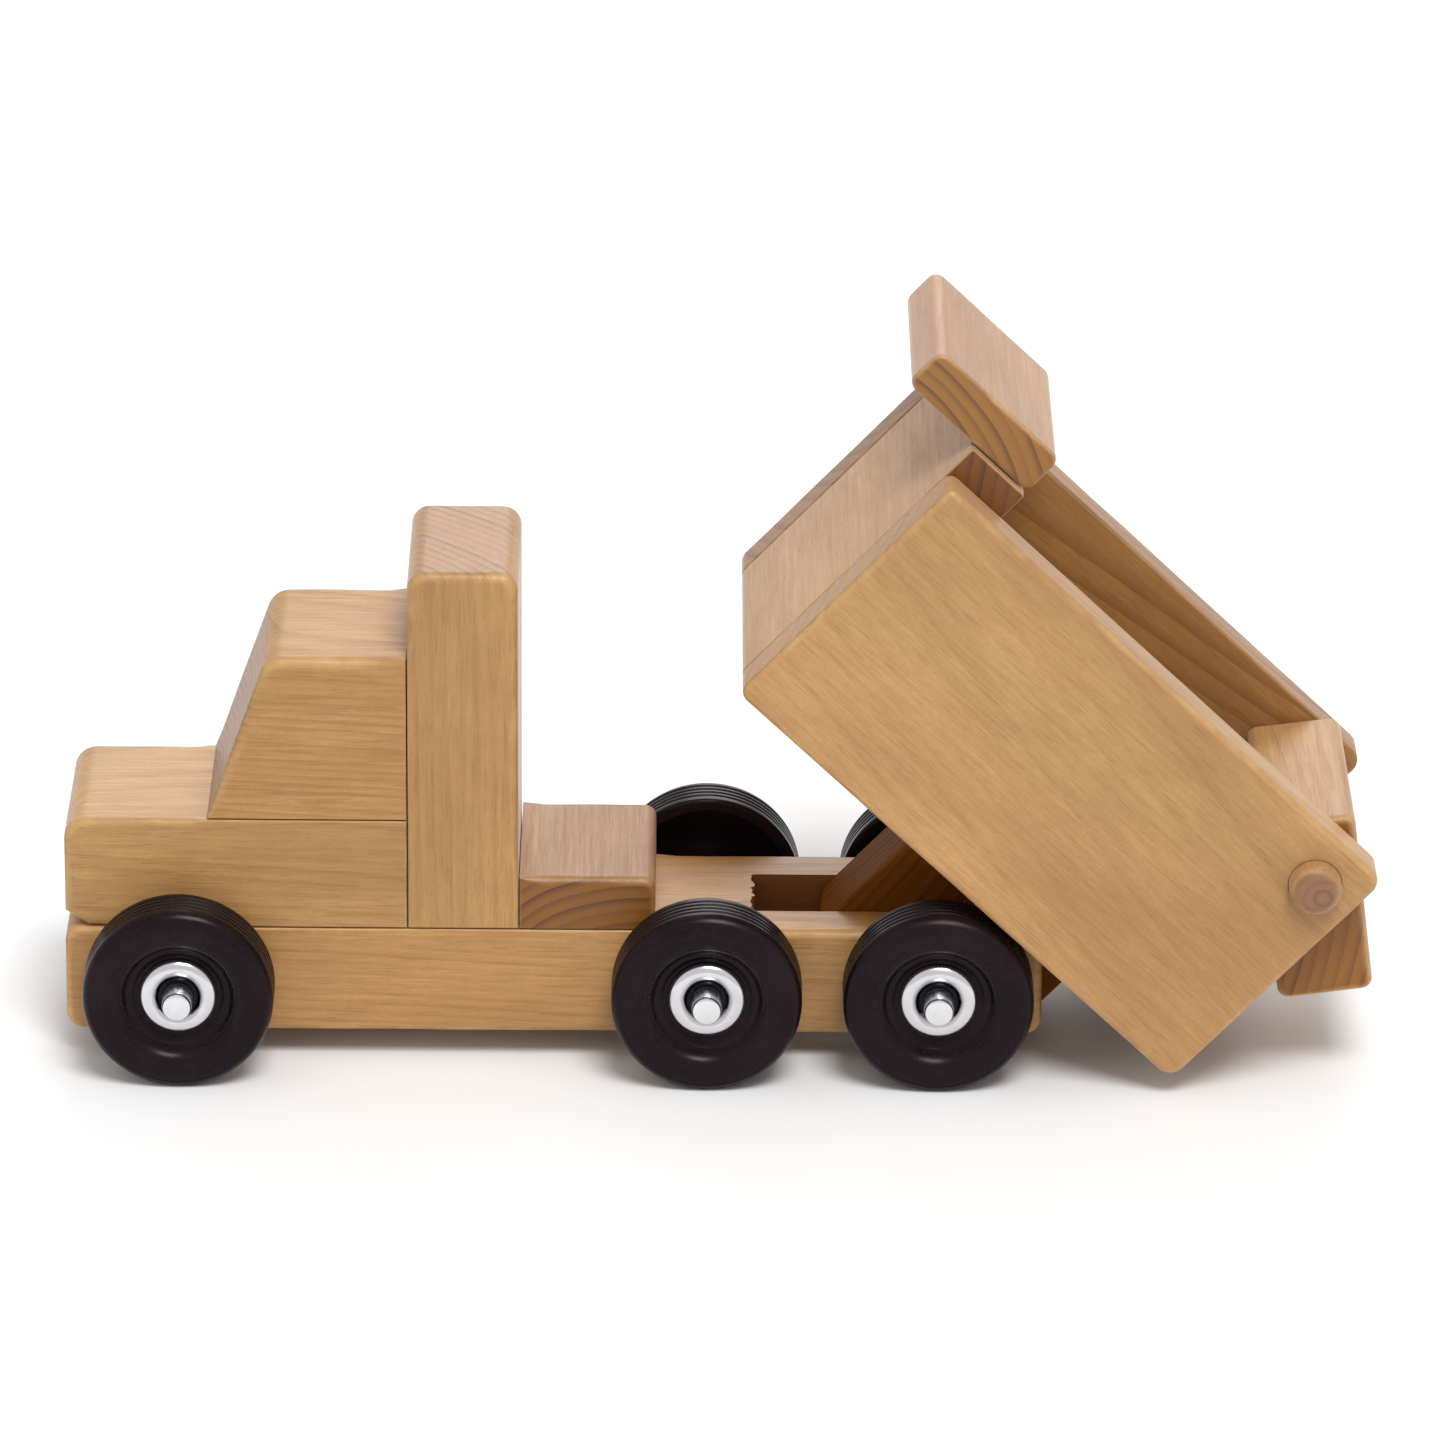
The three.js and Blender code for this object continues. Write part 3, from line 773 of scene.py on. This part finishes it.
def make_cab():
    base = HOOD_TOP + GLUE_LINE
    corners = [
        (CAB_FOOT, base, 0), (CAB_REAR, base, 0), (CAB_REAR, CAB_TOP, 0), (CAB_BROW, CAB_TOP, BLOCK_CORNER),
    ]
    seams = [((CAB_FOOT, base), (CAB_REAR, base)), ((CAB_REAR, base), (CAB_REAR, CAB_TOP))]
    cab = block(
        "cab_block_look", corners, BODY_WIDTH, round_edge=2.8, place=WORLD_FRAME, wear=0.4, seams=seams,
        seed=3,
    )
    look = wood(
        "cab_wood", "X", pith=(-60, -120), spacing=2.3, rings=0.36, tilt=(0.03, 0.05), sheen=0.12, gloss=0.4,
        seed=3,
    )
    settle(cab, look, "chassis_body")


def make_cab_back_panel():
    base = CHASSIS_HIGH[1] + GLUE_LINE
    corners = rectangle((PANEL_FRONT, base), (PANEL_REAR, PANEL_TOP), (0, 0, PANEL_CORNER, PANEL_CORNER))
    seams = [
        ((PANEL_FRONT, base), (PANEL_REAR, base)), ((PANEL_FRONT, base), (PANEL_FRONT, CAB_TOP)),
        ((PANEL_REAR, base), (PANEL_REAR, DECK_TOP)),
    ]
    panel = block(
        "cab_back_panel_look", corners, BODY_WIDTH, round_edge=2.8, place=WORLD_FRAME, seams=seams, seed=4,
    )
    look = wood(
        "panel_wood", "Z", pith=(MIDDLE_X - 150, -90), spacing=3.2, rings=0.26, tilt=(0.02, 0.01), ends=0.8,
        end_tint=(1.25, 1.55, 6.0), seed=4,
    )
    settle(panel, look, "chassis_body")


def make_deck():
    base = CHASSIS_HIGH[1] + GLUE_LINE
    corners = rectangle((DECK_FRONT, base), (DECK_REAR, DECK_TOP), (0, 0, DECK_CORNER, 0))
    seams = [((DECK_FRONT, base), (DECK_REAR, base)), ((DECK_FRONT, base), (DECK_FRONT, DECK_TOP))]
    deck = block(
        "deck_block_look", corners, BODY_WIDTH, round_edge=2.4, place=WORLD_FRAME, wear=0.35, seams=seams,
        seed=5,
    )
    look = wood(
        "deck_wood", "Y", pith=(MIDDLE_X - 20, -4), spacing=3.6, rings=0.26, tilt=(0.1, 0.06),
        tint=(0.80, 0.72, 0.67), sheen=0.05, seed=5,
    )
    settle(deck, look, "chassis_body")


# ---------------------------------------------------------------- the bed

def make_bed_sides():
    """The far side is the darker board. Each is rounded more on its outer face than on its inner one."""
    looks = {
        "left": wood(
            "side_wood_left", "X", pith=(-110, 165), spacing=4.6, rings=0.17, tilt=(-0.13, 0.10),
            tint=(1.05, 1.05, 1.12), ends=0.45, seed=6, board=BED_FRAME,
        ),
        "right": wood(
            "side_wood_right", "X", pith=(66, 128), spacing=5.0, rings=0.72, tilt=(0.06, -0.22),
            tint=(0.80, 0.72, 0.62), ends=0.6, seed=7, board=BED_FRAME,
        ),
    }
    outer, inner = 1.9, 0.8
    for side, sign in (("left", -1), ("right", 1)):
        near, far = (outer, inner) if sign < 0 else (inner, outer)
        radii = (BED_FRONT_CORNER, BOARD_CORNER, BOARD_CORNER, BED_TOP_CORNER)
        board = block(
            f"bed_side_{side}_look", rectangle(BED_LOW, BED_HIGH, radii), SIDE_THICKNESS, round_edge=near,
            place=BED_FRAME, middle=sign * (BED_WIDTH - SIDE_THICKNESS) / 2, far_edge=(far, far),
            seed=6 + sign,
        )
        carve(board, round_hole(DOWEL_HOLE, 2 * BED_WIDTH, *DOWEL_AT, BED_FRAME))
        settle(board, looks[side], "bed_body")


def make_bed_front_panel():
    high = (BED_LOW[0] + FRONT_PANEL_THICKNESS, FRONT_PANEL_HIGH)
    corners = rectangle(BED_LOW, high, (BED_FRONT_CORNER, INNER_CORNER, INNER_CORNER, INNER_CORNER))
    panel = block("bed_front_panel_look", corners, INNER_WIDTH, round_edge=0.7, place=BED_FRAME, seed=9)
    look = wood(
        "front_panel_wood", "Y", pith=(-175, 60), spacing=3.6, rings=0.18, tilt=(0.05, 0.1),
        tint=(1.0, 1.0, 1.14), end_tint=(0.56, 0.43, 0.1), seed=9, board=BED_FRAME,
    )
    settle(panel, look, "bed_body")


def make_bed_floor():
    low = (BED_LOW[0] + FRONT_PANEL_THICKNESS + GLUE_LINE, BED_LOW[1])
    corners = rectangle(low, (BED_HIGH[0], BED_LOW[1] + FLOOR_THICKNESS), (0, GATE_CORNER, GATE_CORNER, 0))
    floor = block("bed_floor_look", corners, INNER_WIDTH, round_edge=0.9, place=BED_FRAME, seed=10)
    carve(floor, *(screw_hole(node, seat=0.9, neck=3) for node in ("screw_hinge_front", "screw_hinge_rear")))
    look = wood(
        "bed_floor_wood", "X", pith=(20, -60), spacing=3.2, rings=0.35, tilt=(0.03, 0.05), seed=10,
        board=BED_FRAME,
    )
    settle(floor, look, "bed_body")


def make_bed_visor():
    base = FRONT_PANEL_HIGH + GLUE_LINE
    corners = rectangle((VISOR_FRONT, base), (VISOR_REAR, base + VISOR_THICKNESS), VISOR_CORNER)
    visor = block(
        "bed_visor_look", corners, VISOR_WIDTH, round_edge=1.3, place=BED_FRAME, far_edge=(2.6, 4.8),
        seed=11,
    )
    look = wood(
        "visor_wood", "Y", pith=(-122, 62), spacing=3.5, rings=0.10, tilt=(0.08, 0.04),
        tint=(1.0, 0.97, 1.22), end_tint=(1.0, 1.06, 1.2), sheen=0.3, seed=11, board=BED_FRAME,
    )
    settle(visor, look, "bed_body")


def make_hinge_block():
    front, foot = HINGE_LOW
    top = BED_LOW[1] - GLUE_LINE
    corners = [
        (front, foot, HINGE_CORNER), (HINGE_REAR - HINGE_CHAMFER, foot, 0),
        (HINGE_REAR, foot + HINGE_CHAMFER, 0), (HINGE_REAR, top, 0), (front, top, 0),
    ]
    hinge = block("hinge_block_look", corners, HINGE_WIDTH, round_edge=1.1, place=BED_FRAME, seed=12)
    carve(hinge, round_hole(AXLE_HOLE, length=60, x=0, z=0, place=BED_FRAME))
    # The tint is painted shade: the whole block is painted dark for the shade it lies in under the bed.
    look = wood(
        "hinge_wood_painted_shade", "Z", pith=(30, 45), spacing=2.2, rings=0.6, tilt=(0.04, 0.02), tint=(0.47, 0.30, 0.12),
        sheen=0.0, gloss=0.02, seed=12, board=BED_FRAME,
    )
    settle(hinge, look, "bed_body")


# ---------------------------------------------------------------- the tailgate

def make_tailgate():
    corners = rectangle(GATE_LOW, GATE_HIGH, GATE_CORNER)
    gate = block("tailgate_look", corners, GATE_WIDTH, round_edge=2.2, place=GATE_FRAME, seed=13)
    carve(gate, round_hole(DOWEL_HOLE, length=160, x=0, z=0, place=GATE_FRAME))
    look = wood(
        "tailgate_wood", "Y", pith=(-95, 0), spacing=3.6, rings=0.34, tilt=(0.05, 0.05),
        end_tint=(0.95, 0.84, 0.6), seed=13, board=GATE_FRAME,
    )
    settle(gate, look, "tailgate_body")


def make_tailgate_dowel():
    side, flat = DOWEL_RADIUS - DOWEL_ROUND, DOWEL_END - DOWEL_ROUND
    quarter = [(side + r, flat + y) for r, y in arc((0, 0), DOWEL_ROUND, 90, 0, 8)]
    profile = [(0, -DOWEL_END)] + [(r, -y) for r, y in quarter] + quarter[::-1] + [(0, DOWEL_END)]
    dowel = turned("tailgate_dowel_look", profile, 64, GATE_FRAME, closed=False)
    look = wood(
        "dowel_wood", "Y", pith=(0.6, -0.4), spacing=2.6, rings=0.25, tint=(0.90, 0.84, 0.84), ends=0.75,
        end_tint=(0.80, 0.98, 5.0), seed=14, board=GATE_FRAME,
    )
    settle(dowel, look, "tailgate_body")


# ---------------------------------------------------------------- wheels, axles, caps and washers

def wheel_profile():
    """From the inner end of the bore, over the dished inside, ribbed tread and face, back to the bore."""
    points = [(4.3, 28.1), (4.6, 27.9), (8.1, 27.9), (8.5, 28.3), (8.8, 33), (9.3, 38)]
    points += [(10.0, 38.9), (11, 39.1), (19.6, 39.1), (20.4, 38.7), (20.9, 37.8), (21.7, 33.8)]
    points += [(22.1, 33.15), (22.8, 33.0), (24.0, 33.05)]
    points += arc((24.2, 34.2), 1.2, -75, 0, 4)
    groove_radius, lip_radius, groove_half = WHEEL_RADIUS - 0.75, 25.22, 0.36
    lip_out, floor_half = groove_half * 1.7, groove_half * 0.35
    for middle in (36.3, 38.5, 40.7, 42.9):
        points += [
            (WHEEL_RADIUS, middle - lip_out), (lip_radius, middle - groove_half),
            (groove_radius, middle - floor_half), (groove_radius, middle + floor_half),
            (lip_radius, middle + groove_half), (WHEEL_RADIUS, middle + lip_out),
        ]
    points += [(WHEEL_RADIUS, 44.2), (25.33, 44.9)]
    points += [(25.0, 45.75), (24.5, 46.4), (23.8, 47.0), (23.3, 47.15), (23.1, 47.1), (22.8, 47.25)]
    points += [(21.6, 47.7), (20.2, 47.95), (18.8, 48.0), (17.5, 47.75), (16.4, 47.2), (15.5, 46.4)]
    points += [(14.8, 45.4), (14.3, 44.5), (13.9, 43.9), (13.5, 43.6), (13.1, 43.5), (12.7, 43.6)]
    points += [(12.3, 43.4), (11.9, 42.95), (11.4, 42.7), (10.9, 42.6), (6, 42.6), (4.3, 42.6)]
    return points


def cap_profile():
    """A domed push-on cap, dished round the rod."""
    points = [(4.15, 42.9), (10.15, 42.9), (10.45, 43.05), (10.5, 43.3), (10.4, 43.7)]
    points += [(10.1, 44.3), (9.4, 44.8), (8.4, 45.1), (7.5, 45.15), (6.8, 45.0), (6.2, 44.6)]
    points += [(5.75, 44.0), (5.45, 43.5), (5.0, 43.25), (4.5, 43.2), (4.15, 43.2)]
    return points


def rod_profile():
    tip = [(0, 0), (2.9, 0.05), (3.6, 0.3), (3.9, 0.8), (3.97, 1.2)]
    points = [(radius, ROD_END - back) for radius, back in tip]
    return points + [(radius, -y) for radius, y in reversed(points)]


def washer_profile():
    return [(4.3, 26.6), (7.85, 26.6), (8, 26.75), (8, 27.45), (7.85, 27.6), (4.3, 27.6)]


def make_wheels():
    wheel_look = black_wheel("wheel_black")
    rod_look = steel("rod_steel", colour=(0.80, 0.80, 0.82), roughness=0.16)
    cap_look = steel("cap_zinc", colour=(0.74, 0.73, 0.76), roughness=0.12, recess=6.2)
    washer_look = steel("washer_steel", colour=(0.55, 0.55, 0.56), roughness=0.3)
    for place, axle in AXLES.items():
        body = f"{place}_axle_body"
        centre = Matrix.Translation(axle)
        rod = turned(f"{place}_axle_look", rod_profile(), 64, centre, closed=False)
        settle(rod, rod_look, body)
        for side, turn in (("left", math.pi), ("right", 0)):
            out = centre @ Matrix.Rotation(turn, 4, "Z")
            wheel = turned(f"wheel_{place}_{side}_look", wheel_profile(), 120, out)
            settle(wheel, wheel_look, f"wheel_{place}_{side}_body")
            cap = turned(f"axle_cap_{place}_{side}_look", cap_profile(), 72, out)
            settle(cap, cap_look, body)
            washer = turned(f"washer_{place}_{side}_look", washer_profile(), 48, out)
            settle(washer, washer_look, body)


add_camera()
add_studio()
make_chassis()
make_hood()
make_cab()
make_cab_back_panel()
make_deck()
make_bed_sides()
make_bed_front_panel()
make_bed_floor()
make_bed_visor()
make_hinge_block()
make_tailgate()
make_tailgate_dowel()
make_wheels()
make_fasteners()
